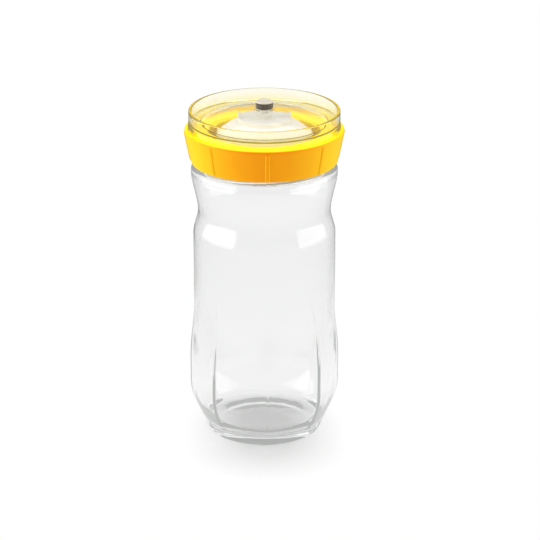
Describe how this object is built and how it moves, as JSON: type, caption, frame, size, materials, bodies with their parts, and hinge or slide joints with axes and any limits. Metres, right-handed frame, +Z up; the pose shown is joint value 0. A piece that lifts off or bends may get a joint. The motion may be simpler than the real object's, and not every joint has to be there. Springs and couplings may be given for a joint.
{
  "type": "vegetable fermenter jar",
  "caption": "Clear glass jar with ridged sides, a yellow screw lid with a water channel, a white vent dome, a clear cover with a dark plug, and a spring press inside.",
  "frame": {"origin": "middle of the jar's foot, on the surface that it stands on", "axes": "+Z up along the jar's axis; a ridge of the glass and a rib of the lid face -Y"},
  "size_m": [0.1178, 0.1178, 0.2546],
  "materials": {
    "jar_glass": "clear polished glass",
    "lid_plastic": "warm yellow, satin gloss moulding",
    "white_plastic": "white, soft gloss moulding",
    "clear_plastic": "clear, polished",
    "plug_rubber": "dark brown-grey silicone, smooth",
    "seal_silicone": "milky silicone",
    "spring_steel": "drawn stainless wire"
  },
  "bodies": {
    "jar": {"glass_jar": "jar_glass"},
    "seal": {"jar_gasket": "seal_silicone"},
    "lid": {"screw_lid": "lid_plastic", "vent_dome": "white_plastic", "spring_holder": "white_plastic", "press_spring": "spring_steel"},
    "cap": {"vent_cap": "white_plastic"},
    "cover": {"clear_cover": "clear_plastic"},
    "plug": {"vent_plug": "plug_rubber"},
    "press": {"press_plate": "white_plastic"}
  },
  "joints": [
    {"name": "lid_lift", "type": "slide", "parent": "jar", "child": "seal", "axis": [0, 0, 1], "range_m": [0, 0.0135]},
    {"name": "lid_turn", "type": "hinge", "parent": "seal", "child": "lid", "pos_m": [0, 0, 0.22], "axis": [0, 0, 1], "range_deg": [0, 270]},
    {"name": "cap_turn", "type": "hinge", "parent": "lid", "child": "cap", "pos_m": [0, 0, 0.239], "axis": [0, 0, 1], "range_deg": [0, 90]},
    {"name": "cover_lift", "type": "slide", "parent": "lid", "child": "cover", "axis": [0, 0, 1], "range_m": [0, 0.04]},
    {"name": "plug_pull", "type": "slide", "parent": "cover", "child": "plug", "axis": [0, 0, 1], "range_m": [0, 0.012]},
    {"name": "press_travel", "type": "slide", "parent": "lid", "child": "press", "axis": [0, 0, -1], "range_m": [0, 0.1], "deforming": ["press_spring"]}
  ],
  "couplings": [
    {"joint": "lid_lift", "follows": "lid_turn", "m_per_rad": 0.0028648}
  ]
}
